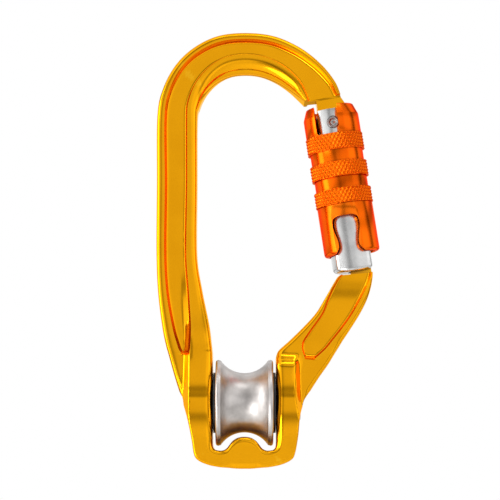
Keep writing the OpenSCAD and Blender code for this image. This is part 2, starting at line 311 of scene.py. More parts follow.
def anodised(name, deep, body, pale, painted_shade_tone, rim, rough, grain_mm, edge_mm, seal):
    """Dyed anodised aluminium: tumbled bright, then dyed, so the colour is a tint on the metal's own shine.
    The dye sits a little paler on worn edges and deeper in blotches, and a fine tumbled grain softens the glare.
    Tight hollows and creases get painted shade, darkening the colour where ambient occlusion finds them."""
    mat, tree, where = new_material(name)
    blotch = add(tree, NOISE, {"Vector": where, "Scale": 1 / (9.0 * MM), "Detail": 3.0}).outputs["Fac"]
    dye = [(0.3, linear(deep)), (0.55, linear(body)), (0.8, linear(body))]
    tint = add(tree, RAMP, {"Fac": blotch, "stops": dye}).outputs["Color"]
    worn = add(tree, "ShaderNodeNewGeometry").outputs["Pointiness"]
    edge = add(tree, RAMP, {"Fac": worn, "stops": [(0.52, grey(0.0)), (0.6, grey(1.0))]}).outputs["Color"]
    share = add(tree, RANGE, {"Value": edge, "To Min": 0.0, "To Max": 0.4}).outputs["Result"]
    on_edges = add(tree, MIX, {"data_type": "RGBA", SHARE_IN: share, FIRST_IN: tint, SECOND_IN: linear(pale)})
    # Painted shade: ambient occlusion darkens the colour towards the shade tone in tight hollows and creases.
    painted_shade_ao = add(tree, "ShaderNodeAmbientOcclusion", {"samples": 8, "Distance": 1.2 * MM}).outputs["AO"]
    painted_shade_share = add(tree, RAMP, {"Fac": painted_shade_ao, "stops": [(0.35, grey(1.0)), (0.85, grey(0.0))]}).outputs["Color"]
    colour = add(tree, MIX, {
        "data_type": "RGBA", SHARE_IN: painted_shade_share, FIRST_IN: on_edges.outputs[COLOUR_OUT],
        SECOND_IN: linear(painted_shade_tone),
    })
    grain = add(tree, NOISE, {
        "Vector": where, "Scale": 1 / (grain_mm * MM), "Detail": 4.0, "Roughness": 0.6,
    }).outputs["Fac"]
    gloss = add(tree, RANGE, {"Value": grain, "To Min": rough - 0.05, "To Max": rough + 0.07})
    dimple = add(tree, NOISE, {"Vector": where, "Scale": 1 / (edge_mm * MM), "Detail": 3.0}).outputs["Fac"]
    bump = add(tree, BUMP, {"Height": dimple, "Strength": 0.06, "Distance": 0.02 * MM})
    # The coat is the sealed oxide over the dye, which gives a thin colourless shine of its own.
    return surfaced(mat, {
        "Base Color": colour.outputs[COLOUR_OUT], "Metallic": 1.0, "Roughness": gloss.outputs["Result"],
        "Normal": bump.outputs["Normal"], "Coat Weight": seal, "Coat Roughness": 0.12, "Coat IOR": 1.6,
        "Specular Tint": linear(rim),
    })


def bright_aluminium(name, dark, light, rough, grain_mm=0.35):
    """Clear anodised aluminium, tumbled: an even metal with cloudy shine and tiny dents from the stones."""
    mat, tree, where = new_material(name)
    cloud = add(tree, NOISE, {"Vector": where, "Scale": 1 / (4.0 * MM), "Detail": 4.0, "Roughness": 0.55})
    tone = add(tree, RAMP, {"Fac": cloud.outputs["Fac"], "stops": [(0.3, linear(dark)), (0.7, linear(light))]})
    grain = add(tree, NOISE, {
        "Vector": where, "Scale": 1 / (grain_mm * MM), "Detail": 3.0, "Roughness": 0.6,
    }).outputs["Fac"]
    gloss = add(tree, RANGE, {"Value": grain, "To Min": rough - 0.06, "To Max": rough + 0.08})
    bump = add(tree, BUMP, {"Height": grain, "Strength": 0.08, "Distance": 0.02 * MM})
    return surfaced(mat, {
        "Base Color": tone.outputs["Color"], "Metallic": 1.0, "Roughness": gloss.outputs["Result"],
        "Normal": bump.outputs["Normal"],
    })


def turned_aluminium(name, dark, light, rough, feed_mm=0.6):
    """Turned and clear anodised aluminium: rings left by the lathe tool run round the X axis.
    The real feed is about 0.15 mm, too fine to show, so the rings are drawn wider."""
    mat, tree, where = new_material(name)
    cloud = add(tree, NOISE, {"Vector": where, "Scale": 1 / (5.0 * MM), "Detail": 4.0, "Roughness": 0.55})
    tone = add(tree, RAMP, {"Fac": cloud.outputs["Fac"], "stops": [(0.3, linear(dark)), (0.75, linear(light))]})
    along = add(tree, "ShaderNodeMapping", {"Vector": where, "Scale": (1.0, 0.02, 0.02)}).outputs["Vector"]
    rings = add(tree, NOISE, {
        "Vector": along, "Scale": 1 / (feed_mm * MM), "Detail": 2.0, "Roughness": 0.4,
    }).outputs["Fac"]
    gloss = add(tree, RANGE, {"Value": rings, "To Min": rough - 0.05, "To Max": rough + 0.1})
    bump = add(tree, BUMP, {"Height": rings, "Strength": 0.12, "Distance": 0.02 * MM})
    return surfaced(mat, {
        "Base Color": tone.outputs["Color"], "Metallic": 1.0, "Roughness": gloss.outputs["Result"],
        "Normal": bump.outputs["Normal"],
    })


def plain_metal(name, dark, light, rough, grain_mm):
    """Small steel and bronze parts as they come from the machine: even colour with a fine ground grain."""
    mat, tree, where = new_material(name)
    grain = add(tree, NOISE, {
        "Vector": where, "Scale": 1 / (grain_mm * MM), "Detail": 4.0, "Roughness": 0.6,
    }).outputs["Fac"]
    tone = add(tree, RAMP, {"Fac": grain, "stops": [(0.3, linear(dark)), (0.7, linear(light))]})
    gloss = add(tree, RANGE, {"Value": grain, "To Min": rough - 0.05, "To Max": rough + 0.1})
    return surfaced(mat, {
        "Base Color": tone.outputs["Color"], "Metallic": 1.0, "Roughness": gloss.outputs["Result"],
    })


def moulded_polymer(name, dark, light):
    """Moulded acetal: a dark low-sheen plastic with the faint orange peel of the mould."""
    mat, tree, where = new_material(name)
    peel = add(tree, NOISE, {"Vector": where, "Scale": 1 / (0.5 * MM), "Detail": 3.0}).outputs["Fac"]
    tone = add(tree, RAMP, {"Fac": peel, "stops": [(0.3, linear(dark)), (0.7, linear(light))]})
    gloss = add(tree, RANGE, {"Value": peel, "To Min": 0.4, "To Max": 0.55})
    bump = add(tree, BUMP, {"Height": peel, "Strength": 0.1, "Distance": 0.03 * MM})
    return surfaced(mat, {
        "Base Color": tone.outputs["Color"], "IOR": 1.48, "Roughness": gloss.outputs["Result"],
        "Normal": bump.outputs["Normal"],
    })


# The fourth colour of each is painted shade, laid into tight hollows and creases.
GOLD = anodised("gold anodised aluminium", "#EBA004", "#F0A506", "#FFC222", "#9A601C", "#FFD830",
                0.13, 0.5, 0.9, 0.05)
ORANGE = anodised("orange anodised aluminium", "#E85A00", "#F06200", "#FF8414", "#8E3200", "#FF9000",
                  0.2, 0.4, 0.7, 0.04)
SILVER = bright_aluminium("clear anodised aluminium", "#B8B8B8", "#D0D0CF", 0.2)
SHEAVE = turned_aluminium("turned aluminium", "#A9A4A1", "#D0CBC8", 0.34)
RIVET = plain_metal("formed stainless steel", "#7A7472", "#A39C9A", 0.3, 0.3)
STEEL = plain_metal("ground steel", "#8E8F93", "#B9BABD", 0.3, 0.25)
SPRING = plain_metal("drawn spring wire", "#7F848A", "#A3A8AD", 0.32, 0.2)
BRONZE = plain_metal("sintered bronze", "#8C6A3A", "#B08A52", 0.42, 0.2)
POLYMER = moulded_polymer("moulded acetal", "#161616", "#242424")


# ---------------------------------------------------------------- the forged frame

BAR = 5.5        # half-thickness of the bar at its rims
WEB = 2.8        # half-thickness of the web and the hinge tang

# Half-depth of the cheeks by height, on their inner band: the bulge round the axle.
AXLE_BULGE = [(-124, 6.1), (-122, 6.4), (-120, 6.75), (-118, 7.15), (-115, 7.8), (-112, 8.45), (-109, 8.98),
              (-106, 9.37), (-103, 9.5), (-101, 9.38), (-100, 9.2), (-98, 8.75), (-96, 8.45)]
LEFT_BULGE = AXLE_BULGE + [(-90, 7.8), (-82, 6.9), (-72, 6.0), (-58, BAR), (-50, BAR)]
RIGHT_BULGE = AXLE_BULGE + [(-92, 8.0), (-90.6, 7.7), (-89.2, 6.7), (-87.2, BAR), (-80, BAR)]

# Sections of the hinge tang: height along the gate, right edge and left edge.
TANG = [(-4.0, 3.3, -3.0), (-3.0, 4.2, -3.7), (-1.5, 5.1, -4.1), (0, 5.4, -4.3), (2, 5.4, -4.3), (4, 5.3, -4.1),
        (6.1, 4.8, -3.9), (8.0, 3.9, -3.9)]


def station(outer, inner, rims=(2.9, 3.6), web=1.0, ridge=6.0, share=0.0, rounds=(1.3, 2.0), sunk=1.0):
    """One section of the bar, from its outer to its inner edge, given as (x, z). rims are the distances from the
    edges to the foot of the recess's walls. web goes from 1 to 0 over the recess's round end. ridge is the width
    of the cheek's band, and share is how far the band stands proud. rounds are the roundings of the two edges,
    and sunk is the recess's depth as a share."""
    return [*outer, *inner, *rims, web, ridge, share, *rounds, sunk]


WEB_AT = 6    # where a section's row holds its web

# The bar's sections, from the hinge over the bow, down the spine, under the sheave and up the arm to the nose.
BOW_AND_SPINE = [
    station((29.7, -6.9), (18.6, -9.1), (2.5, 2.2), rounds=(1.0, 0.9)),
    station((27.9, -2.7), (16.4, -7.2), (2.8, 3.6), rounds=(1.1, 2.4)),
    station((23.6, 2.7), (13.6, -4.9), (3.2, 5.0), rounds=(1.2, 3.6)),
    station((17.2, 7.8), (9.6, -2.3), (3.5, 5.9), rounds=(1.3, 4.2)),
    station((9.1, 11.4), (5.0, -0.5), (3.6, 6.4), rounds=(1.3, 4.6)),
    station((0.2, 12.4), (0, 0), (3.6, 6.6), rounds=(1.3, 4.8)),
    station((-8.4, 11.4), (-4.8, -0.7), (3.6, 6.4), rounds=(1.3, 4.6)),
    station((-15.8, 7.7), (-8.8, -3.0), (3.5, 5.9), rounds=(1.3, 4.2)),
    station((-21.4, 2.2), (-12.0, -6.6), (3.5, 5.4), rounds=(1.3, 3.6)),
    station((-25.3, -5.3), (-13.9, -10.6), (3.6, 4.8), rounds=(1.3, 2.8)),
    station((-27.0, -14.0), (-14.6, -15.0), (3.8, 4.3), rounds=(1.3, 2.0)),
    station((-27.0, -35.0), (-14.6, -35.0), (4.0, 4.2), rounds=(1.3, 1.7)),
    station((-27.0, -56.4), (-14.6, -56.4), (3.9, 4.4), ridge=3.4, share=0.0, rounds=(1.3, 1.7)),
    station((-26.4, -69.0), (-13.0, -67.5), (4.1, 5.2), ridge=4.3, share=0.7, rounds=(1.3, 1.9)),
    station((-25.0, -79.7), (-10.8, -78.2), (4.6, 6.7), ridge=5.6, share=1, rounds=(1.4, 2.1)),
    station((-23.9, -84.9), (-10.0, -84.4), (5.0, 7.6), 1, ridge=6.2, share=1, rounds=(1.4, 2.0)),
    station((-23.5, -86.3), (-9.8, -86.2), (5.1, 7.9), 0.45, ridge=6.5, share=1, rounds=(1.4, 2.0)),
    station((-23.1, -87.7), (-9.7, -87.7), (5.3, 8.1), 0, ridge=6.7, share=1, rounds=(1.4, 1.9)),
]
LEFT_CHEEK = [
    station((-21.2, -94.4), (-9.6, -94.4), (3.5, 7.2), 0, ridge=6.9, share=1, rounds=(1.5, 2.2)),
    station((-18.9, -101.6), (-9.6, -101.6), (2.4, 6.4), 0, ridge=7.0, share=1, rounds=(1.8, 2.2)),
    station((-17.1, -107.5), (-9.6, -107.5), (1.6, 5.6), 0, ridge=7.0, share=1, rounds=(2.2, 2.1)),
    station((-15.9, -113.4), (-9.6, -112.6), (1.4, 4.6), 0, ridge=7.6, share=1, rounds=(2.3, 2.0)),
    station((-15.2, -117.8), (-9.5, -115.2), (1.4, 4.4), 0, ridge=7.6, share=1, rounds=(2.2, 1.6)),
    station((-13.9, -119.6), (-8.9, -116.3), (1.4, 4.0), 0, ridge=7.6, share=1, rounds=(2.0, 1.3)),
]
BRIDGE = [
    station((-11.0, -120.9), (-7.9, -116.6), (1.4, 3.4), 0, ridge=7.0, share=1, rounds=(1.7, 1.3)),
    station((-7.6, -121.6), (-6.6, -116.6), (1.4, 3.4), 0, ridge=7.0, share=1, rounds=(1.7, 1.3)),
    station((-5.2, -121.8), (-5.3, -115.9), (1.4, 3.4), 0, ridge=9.0, share=1, rounds=(1.7, 1.5)),
    station((-3.2, -122.0), (-3.7, -113.9), (1.4, 3.4), 0, ridge=11, share=1, rounds=(1.7, 1.6)),
    station((-1.6, -122.1), (-2.0, -112.8), (1.4, 3.4), 0, ridge=11, share=1, rounds=(1.7, 1.6)),
    station((0, -122.1), (0, -112.5), (1.4, 3.4), 0, ridge=11, share=1, rounds=(1.7, 1.6)),
]
RIGHT_CHEEK = [
    station((16.2, -112.5), (9.6, -112.6), (1.4, 4.6), 0, ridge=7.6, share=1, rounds=(2.3, 2.0)),
    station((16.9, -106.0), (9.6, -106.4), (1.6, 5.6), 0, ridge=6.4, share=1, rounds=(2.1, 2.1)),
    station((18.6, -101.2), (9.6, -100.6), (2.2, 6.4), 0, ridge=5.6, share=1, rounds=(1.7, 2.2)),
    station((22.0, -95.6), (9.6, -94.6), (3.6, 7.4), 0, ridge=5.4, share=1, rounds=(1.5, 2.1)),
    station((24.8, -91.6), (9.6, -90.0), (5.6, 9.3), 0, ridge=5.4, share=1, rounds=(1.4, 1.8)),
    station((26.0, -89.8), (9.65, -88.2), (6.0, 9.6), 0, ridge=5.4, share=1, rounds=(1.4, 1.6)),
]
ARM = [
    station((27.4, -87.5), (10.4, -86.4), (5.4, 8.4), 0.55, ridge=5.2, share=0.8, rounds=(1.4, 1.7)),
    station((28.8, -85.3), (12.2, -84.7), (4.9, 6.5), 1, ridge=4.4, share=0.3, rounds=(1.4, 1.8)),
    station((29.9, -83.5), (14.1, -83.0), (4.6, 5.1), 1, ridge=4.0, share=0, rounds=(1.4, 1.8)),
    station((32.5, -79.6), (18.1, -79.1), (4.1, 3.8), 1, rounds=(1.4, 1.6)),
    station((35.2, -75.3), (21.8, -75.0), (3.8, 3.0), 1, rounds=(1.4, 1.3)),
    station((37.3, -71.2), (24.4, -70.8), (3.6, 2.1), 0.99, rounds=(1.3, 0.9), sunk=0.95),
    station((38.6, -67.4), (26.6, -67.0), (3.0, 1.6), 0.99, rounds=(1.2, 0.6), sunk=0.8),
    station((39.15, -64.4), (28.3, -64.2), (2.3, 1.4), 0.99, rounds=(0.9, 0.5), sunk=0.7),
    station((39.25, -62.35), (29.4, -63.25), (1.9, 1.3), 0.99, rounds=(0.8, 0.5), sunk=0.7),
]


def mirrored_rows(rows):
    """The same sections on the other side, in reverse order."""
    return [[-r[0], r[1], -r[2], *r[3:]] for r in reversed(rows)]


def hollow(d, top, foot):
    """Share of the recess's depth: none at the wall's top, then steep, and easing out at its foot."""
    t = min(1.0, max(0.0, (d - top) / (foot - top)))
    return 1 - (1 - t) ** 5


def between(lo, hi, *shares):
    return [lo + (hi - lo) * v for v in shares]


def section_ring(row):
    """Points round one section: across the front from the outer to the inner edge, and back across the rear."""
    ox, oz, ix, iz, rim_o, rim_i, web, ridge, share, round_o, round_i, sunk = row
    outer, inner = Vector((ox, oz)), Vector((ix, iz))
    width = (inner - outer).length
    side = RIGHT_BULGE if ox > 0 else LEFT_BULGE
    web = min(1.0, max(0.0, web))
    sunk *= 1 - (1 - min(1.0, web * 2)) ** 3
    wall_o, wall_i = min(1.5, rim_o - 0.5), min(1.2, rim_i - 0.5)
    middle, half = (rim_o + width - rim_i) / 2, (width - rim_i - rim_o) / 2 * math.sqrt(web * (2 - web))
    foot_o, foot_i = middle - half - 0.01, middle + half + 0.01
    top_o, top_i = foot_o - wall_o, foot_i + wall_i
    round_o, round_i = min(round_o, top_o - 0.05), min(round_i, width - top_i - 0.05)
    band_at, step = width - ridge, 2.3

    curve = [1 - math.cos(math.radians(a)) for a in (0, 15, 30, 45, 60, 75, 90)]
    spots = [a * round_o for a in curve]
    spots += between(round_o, top_o, 0.5, 1)
    spots += between(top_o, foot_o, 0.04, 0.1, 0.17, 0.26, 0.37, 0.5, 0.7, 1)
    spots += between(foot_o, foot_i, 0.25, 0.5, 0.75, 1)
    spots += between(foot_i, top_i, 0.3, 0.5, 0.63, 0.74, 0.83, 0.9, 0.96, 1)
    spots += between(top_i, width - round_i, 0.25, 0.5, 0.75, 1)
    spots += [width - a * round_i for a in reversed(curve)][1:]
    spots += between(max(0.05, band_at - step), max(1.0, band_at), 0.02, 0.2, 0.4, 0.6, 0.8, 0.98)
    spots.sort()

    def depth(d):
        z = oz + (iz - oz) * d / width
        at_band = level(side, z)
        proud = smooth(band_at - step, band_at, d)
        h = min(BAR, at_band) + max(0.0, at_band - BAR) * share * proud
        h -= (BAR - WEB) * sunk * hollow(d, top_o, foot_o) * hollow(d, top_i, foot_i)
        for edge, radius in ((d, round_o), (width - d, round_i)):
            if edge < radius:
                h -= radius * (1 - math.sqrt(max(0.0, 1 - (1 - edge / radius) ** 2)))
        return h

    front = [(outer + (inner - outer) * d / width, depth(d)) for d in spots]
    ring = [(p.x, -h, p.y) for p, h in front]
    ring += [(inner.x, y * front[-1][1], inner.y) for y in (-0.5, 0, 0.5)]
    ring += [(p.x, h, p.y) for p, h in reversed(front)]
    ring += [(outer.x, y * front[0][1], outer.y) for y in (0.5, 0, -0.5)]
    return [Vector(p) for p in ring]


def tang_rows():
    """Sections of the hinge tang: the web carries on past the rims, round the hinge pin."""
    rows = []
    for a, right, left in TANG:
        outer = GATE @ Vector((right, 0, a))
        inner = GATE @ Vector((left, 0, a))
        rows.append(station((outer.x, outer.z), (inner.x, inner.z), (1.5, 1.5), rounds=(0.4, 0.4)))
    return rows


def frame_rows():
    """The bar's sections from end to end, closely spaced."""
    bridge = BRIDGE + mirrored_rows(LEFT_CHEEK[-2:] + BRIDGE[:-1])
    rows = spline(BOW_AND_SPINE + LEFT_CHEEK + bridge + RIGHT_CHEEK + ARM, 8)
    out = [rows[0]]
    for a, b in zip(rows, rows[1:]):
        # A recess's round end turns fast, so it gets more sections.
        if (a[WEB_AT] > 0.001) != (b[WEB_AT] > 0.001):
            shares = (0.04, 0.15, 0.45) if b[WEB_AT] > a[WEB_AT] else (0.55, 0.85, 0.96)
            out += [[p + (q - p) * t for p, q in zip(a, b)] for t in shares]
        out.append(b)
    return out


def web_ring(row, half):
    """A section of plain plate with broken edges, matching section_ring point for point."""
    on_centre = 1e-6
    ring = []
    for p in section_ring(row):
        y = 0 if abs(p.y) <= on_centre else math.copysign(min(abs(p.y), half), p.y)
        ring.append(Vector((p.x, y, p.z)))
    return ring


def key_on_nose():
    """The frame's key: a stem with a wider head, struck about the hinge, that the gate's pocket takes."""
    left, right = -1.5, 4.9
    stem = sector(43.2, 48.5, left, right, 1.5)
    head = sector(41.6, 43.4, left, right, 2.6)
    return merge(stem, head)


def build_frame():
    rows = frame_rows()
    tang = [web_ring(r, WEB - 0.2) for r in spline(tang_rows(), 4)]
    step = web_ring(rows[0], WEB)
    rings = tang + [step] + [section_ring(r) for r in rows]
    obj = piece("frame_forging", *join_rings(rings), "frame", "gold_anodised_aluminium", GOLD)
    shape(obj, "DIFFERENCE", *[cutter("spot face", spot_face(side)) for side in (-1, 1)])
    mend(obj, 42)
    finish_piece(obj, "frame", GOLD, ("frame",))
    piece("nose_key", *key_on_nose(), "frame", "gold_anodised_aluminium", GOLD, crease=42)


def spot_face(side):
    """The round seat for an axle head, milled into the sloping flank of a cheek."""
    radius, floor, outside = 5.4, 16.3, 24.3
    ends = sorted((side * floor, side * outside))
    return join_rings([[Vector((x, y, AXLE_Z + z)) for y, z in disc_outline(radius)] for x in ends])


build_frame()


# ---------------------------------------------------------------- the sheave

def build_sheave():
    """Turned rope wheel: a round groove between two flanges with rolled lips and dished sides."""
    half_w, rim, groove_bottom, groove_r, groove_half = 8.75, 13.1, 9.05, 8.66, 7.2
    centre = groove_bottom + groove_r
    lip = 0.75
    place = Matrix.Translation((0, 0, AXLE_Z)) @ Matrix.Rotation(math.radians(90), 4, "Y")
    reach = math.degrees(math.asin(groove_half / groove_r))
    groove = [(centre - groove_r * math.cos(math.radians(a)), groove_r * math.sin(math.radians(a)))
              for a in [reach * (k / 14 - 1) for k in range(29)]]
    lip_arc = [(rim - lip + lip * math.sin(math.radians(a)), half_w - lip + lip * math.cos(math.radians(a)))
               for a in range(0, 127, 18)]
    side = [(5.0, half_w - 0.6), (5.4, half_w - 0.05), (7.8, half_w - 0.05), (8.3, half_w - 0.5),
            (11.4, half_w - 0.5), (11.9, half_w)]
    right = side + lip_arc
    left = [(r, -h) for r, h in right]
    profile = left + groove + list(reversed(right))
    piece("sheave_wheel", *turned(profile, 160, place), "sheave", "sheave_aluminium", SHEAVE, ("sheave",), 40)


build_sheave()


# ---------------------------------------------------------------- the locking sleeve

BAND_R, SKIRT_R, WAIST_R = 8.95, 8.62, 8.2
BORE_R = 7.05
TOP, BOTTOM = 5.6, -40.8
BANDS = [(-25.4, -20.7), (-17.1, -12.4), (-8.7, -3.6)]
KNURL_MM = 1.3      # spacing of the knurling wheel's teeth
KNURL_DEPTH = 0.5
KNURL_TEETH = round(2 * math.pi * BAND_R / KNURL_MM)
STEPS_PER_TOOTH = 9
THROUGH = 12        # from the gate's middle to well outside the sleeve


def knurl(h, a, low, high):
    """Diamond knurl: two sets of V grooves that cross, deepest where they meet and fading at the ends."""
    lean, groove_share, fade = math.radians(34), 0.92, 0.35
    across = KNURL_TEETH * a / (2 * math.pi)
    along = math.tan(lean) * h / KNURL_MM

    def groove(phase):
        return max(0.0, 1 - abs(phase % 1.0 - 0.5) * 2 / groove_share)

    one, other = groove(across + along), groove(across - along)
    deep = 0.75 * max(one, other) + 0.25 * min(one, other)
    return -KNURL_DEPTH * deep * smooth(low, low + fade, h) * smooth(high, high - fade, h)


def knurled_band(low, high):
    """A raised ring with real knurling, sunk into the sleeve's wall."""
    steps, bevel, root = 34, 0.12, 7.9
    heights = [low + bevel + (high - low - 2 * bevel) * k / steps for k in range(steps + 1)]
    profile = [(root, low + 0.02), (BAND_R - bevel, low)]
    profile += [(BAND_R, h) for h in heights]
    profile += [(BAND_R - bevel, high), (root, high - 0.02)]

    def ripple(r, h, a):
        return knurl(h, a, low, high) if r == BAND_R else 0.0

    return turned(profile, KNURL_TEETH * STEPS_PER_TOOTH, GATE, ripple)


def wall_profile():
    """The plain wall under the bands, with waists between them and rolled ends."""
    outer = [(SKIRT_R - 1.0, BOTTOM), (SKIRT_R - 0.45, BOTTOM + 0.15), (SKIRT_R - 0.12, BOTTOM + 0.5),
             (SKIRT_R, BOTTOM + 1.1)]
    outer += [(SKIRT_R, BANDS[0][0] - 0.1), (WAIST_R, BANDS[0][0] + 0.5)]
    outer += [(WAIST_R, BANDS[2][1] - 0.5), (SKIRT_R, BANDS[2][1] + 0.1)]
    outer += [(SKIRT_R, 2.3), (SKIRT_R - 0.05, 2.55), (SKIRT_R - 1.12, TOP - 0.3), (SKIRT_R - 1.22, TOP - 0.08),
              (SKIRT_R - 1.3, TOP)]
    bore = [(BORE_R + 0.15, TOP), (BORE_R, TOP - 0.3), (BORE_R, BOTTOM + 0.3), (BORE_R + 0.2, BOTTOM)]
    return outer + bore


def rounded_slot(width, bottom, top, corner):
    """A slot's outline, with its two lower corners rounded."""
    half = width / 2

    def arc(x, start):
        turns = [math.radians(start + 15 * k) for k in range(7)]
        return [(x + corner * math.cos(a), bottom + corner + corner * math.sin(a)) for a in turns]

    return arc(half - corner, -90) + [(half, top), (-half, top)] + arc(corner - half, 180)


def keyhole():
    """The lower slot's outline: a round end, a neck, and a mouth that opens at the sleeve's edge."""
    half = spline([(2.2, -29.2), (3.7, -29.9), (4.15, -31.6), (4.0, -33.6), (3.4, -36.0), (3.15, -37.8),
                   (3.45, -39.3), (5.2, -41.2)], 5)
    return [(-x, z) for x, z in half] + [(x, z) for x, z in reversed(half)]


def build_sleeve():
    wall = turned(wall_profile(), 144, GATE)
    obj = piece("sleeve_wall", *wall, "sleeve", "orange_anodised_aluminium", ORANGE)
    front_top = GATE @ Matrix.Rotation(math.radians(-15), 4, "Z")
    front_low = GATE @ Matrix.Rotation(math.radians(-8), 4, "Z")
    top_slot = prism(rounded_slot(7.2, -3.6, TOP + 3, 0.95), -THROUGH, -4, front_top)
    low_slot = prism(keyhole(), -THROUGH, -4, front_low)
    shape(obj, "DIFFERENCE", cutter("top slot", top_slot), cutter("keyhole", low_slot))
    mend(obj, 30)
    break_edges(obj, 0.15, 50)
    mend(obj, 40)
    finish_piece(obj, "sleeve", ORANGE, ("lock_sleeve",))
    for k, (low, high) in enumerate(BANDS):
        piece(f"knurled_band_{k + 1}", *knurled_band(low, high), "sleeve", "orange_anodised_aluminium", ORANGE,
              crease=60)


build_sleeve()


# ---------------------------------------------------------------- gate, rivet and inner parts

def softened(node, name, body, material, width, angle=35.0):
    """The CAD solid again, as a new piece with its machined edges broken."""
    obj = frame["nodes"][node].copy()
    obj.data = obj.data.copy()
    obj.name = name
    bpy.context.scene.collection.objects.link(obj)
    for key in list(obj.keys()):
        del obj[key]
    obj.parent = None
    obj.matrix_world = Matrix()
    bm = bmesh.new()
    bm.from_mesh(obj.data)
    bmesh.ops.remove_doubles(bm, verts=bm.verts, dist=2e-6)
    bmesh.ops.dissolve_limit(bm, angle_limit=math.radians(1.5), verts=bm.verts, edges=bm.edges)
    bm.to_mesh(obj.data)
    bm.free()
    break_edges(obj, width, angle)
    mend(obj, 38)
    return finish_piece(obj, body, material, (node,))


BARREL_R = 6.75
GATE_REACH = 46.3    # from the hinge to the gate's lower end
TANG_ROOM = 2.68     # half-width of the slots that clear the hinge tang
SEAT_FLOOR = 6.1     # from the gate's middle to the floor of a rivet head's seat


def round_bar(radius, low, high):
    """A plain round bar along the gate, as a solid mesh."""
    return join_rings([[GATE @ Vector((x, y, h)) for x, y in disc_outline(radius, 96)] for h in (low, high)])


def box(x0, x1, y0, y1, low, high):
    """A block in the gate's own axes."""
    return prism([(x0, low), (x1, low), (x1, high), (x0, high)], y0, y1, GATE)


def crowned_block():
    """The gate's block: the barrel with a soft crown milled on its front and back, a flat on its right side,
    and its lower end struck about the hinge with a rounded edge."""
    crown, crown_fall, side, top, fillet = 5.7, 22, 5.4, -26.6, 1.0

    def reach(c, s):
        """Distance from the bar's axis to its surface, with the corners between the faces rounded over."""
        limits = [BARREL_R, 2 * crown / (abs(s) + math.sqrt(s * s + 4 * crown * c * c / crown_fall))]
        if c > 0:
            limits.append(side / c)
        return sum(v ** -34 for v in limits) ** (-1 / 34)

    turn = [2 * math.pi * k / 120 for k in range(120)]
    rows = [(0.0, share, 0.0) for share in (0.02, 0.3, 0.6, 0.85)]
    rows += [(fillet * (1 - math.sin(math.radians(a))), 1.0, fillet * (1 - math.cos(math.radians(a))))
             for a in range(0, 91, 15)]
    rings = []
    for inset, share, lift in rows:
        ring = []
        for a in turn:
            r = (reach(math.cos(a), math.sin(a)) - (inset if share == 1 else fillet)) * share
            x, y = r * math.cos(a), r * math.sin(a)
            ring.append(GATE @ Vector((x, y, lift - math.sqrt(GATE_REACH ** 2 - x * x))))
        rings.append(ring)
    outline = [(reach(math.cos(a), math.sin(a)), a) for a in turn]
    rings += [[GATE @ Vector((r * math.cos(a), r * math.sin(a), h)) for r, a in outline] for h in (-40, top)]
    return join_rings(rings)


def gate_piece(name, mesh, width, keep=(), after=(), stands_for=()):
    """One machined part of the gate bar: kept inside some solids, its edges broken by width, and cut by others
    after that."""
    obj = piece(name, *mesh, "gate", "gate_aluminium", SILVER)
    if keep:
        shape(obj, "INTERSECT", *[cutter("keep", m) for m in keep])
    mend(obj, 20)
    if width:
        break_edges(obj, width, 22, 4)
    if after:
        shape(obj, "DIFFERENCE", *[cutter("after", m) for m in after])
    mend(obj, 34)
    return finish_piece(obj, "gate", SILVER, stands_for)


def build_gate():
    """The silver gate bar in four parts: the block with the key's pocket, the neck, the collar and the fork."""
    pocket = (sector(42.4, 49, -2.1, 9, 1.8), sector(41.3, 43.7, -2.1, 9, 2.9))
    tang_room = prism(disc_outline(5.6), -TANG_ROOM, TANG_ROOM, GATE)
    open_top = box(-9, 9, -TANG_ROOM, TANG_ROOM, 0, 9)
    neck_flats = box(-9, 9, -4.68, 4.68, -30, 0)
    fork_sides = box(-4.2, 4.2, -THROUGH, THROUGH, -9, 9)
    fork_end = prism(disc_outline(5.9, 160), -THROUGH, THROUGH, GATE)
    seats = (head_seat(-THROUGH, -SEAT_FLOOR), head_seat(SEAT_FLOOR, THROUGH))
    gate_piece("gate_block", crowned_block(), 0, after=pocket, stands_for=("gate_body",))
    gate_piece("gate_neck", round_bar(5.28, -27, -7.5), 0.1, keep=(neck_flats,))
    gate_piece("gate_collar", round_bar(BARREL_R, -8, -4.4), 0.3, after=(tang_room,))
    gate_piece("gate_fork", round_bar(BARREL_R, -4.6, 4.3), 0.5, keep=(fork_sides, fork_end),
               after=(tang_room, open_top, *seats))


def head_seat(y0, y1):
    """The round seat that the rivet's head is formed into."""
    return prism(disc_outline(1.98, 48), y0, y1, GATE)


build_gate()


def build_rivet():
    """The hinge rivet: a pin whose two ends are spun over into a ring round a punched dimple."""
    half = [(1.5, 0), (1.5, 5.6), (1.88, 5.7), (1.9, 6.35), (1.78, 6.6), (1.5, 6.7), (1.2, 6.6), (1.02, 6.3),
            (0.85, 6.12), (0.62, 6.08), (0.42, 6.2), (0.2, 6.28), (0.01, 6.3)]
    profile = half + [(r, -h) for r, h in reversed(half[1:])]
    place = GATE @ Matrix.Rotation(math.radians(90), 4, "X")
    piece("hinge_rivet", *turned(profile, 48, place), "gate", "rivet_steel", RIVET, ("gate_hinge_rivet",), 50)


build_rivet()
softened("sheave_axle", "axle_pin", "frame", STEEL, 0.3)


def build_spring(name, node, radius, wire, low, high, turns, x=0.0):
    """A coil of drawn wire with closed end turns. radius is to the middle of
    the wire, and wire is the wire's own radius."""
    steps, closed = 28, 3.1 * wire
    heights = [(0, low + wire), (1, low + closed), (turns - 1, high - closed), (turns, high - wire)]
    round_wire = [math.pi / 5 * j for j in range(10)]
    rings = []
    for k in range(round(turns * steps) + 1):
        turn = k / steps
        a, h = 2 * math.pi * turn, level(heights, turn)
        section = [(radius + wire * math.cos(b), h + wire * math.sin(b)) for b in round_wire]
        rings.append([GATE @ Vector((x + r * math.cos(a), r * math.sin(a), up)) for r, up in section])
    obj = piece(name, *join_rings(rings), "gate", "spring_steel", SPRING, (node,))
    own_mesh(obj)


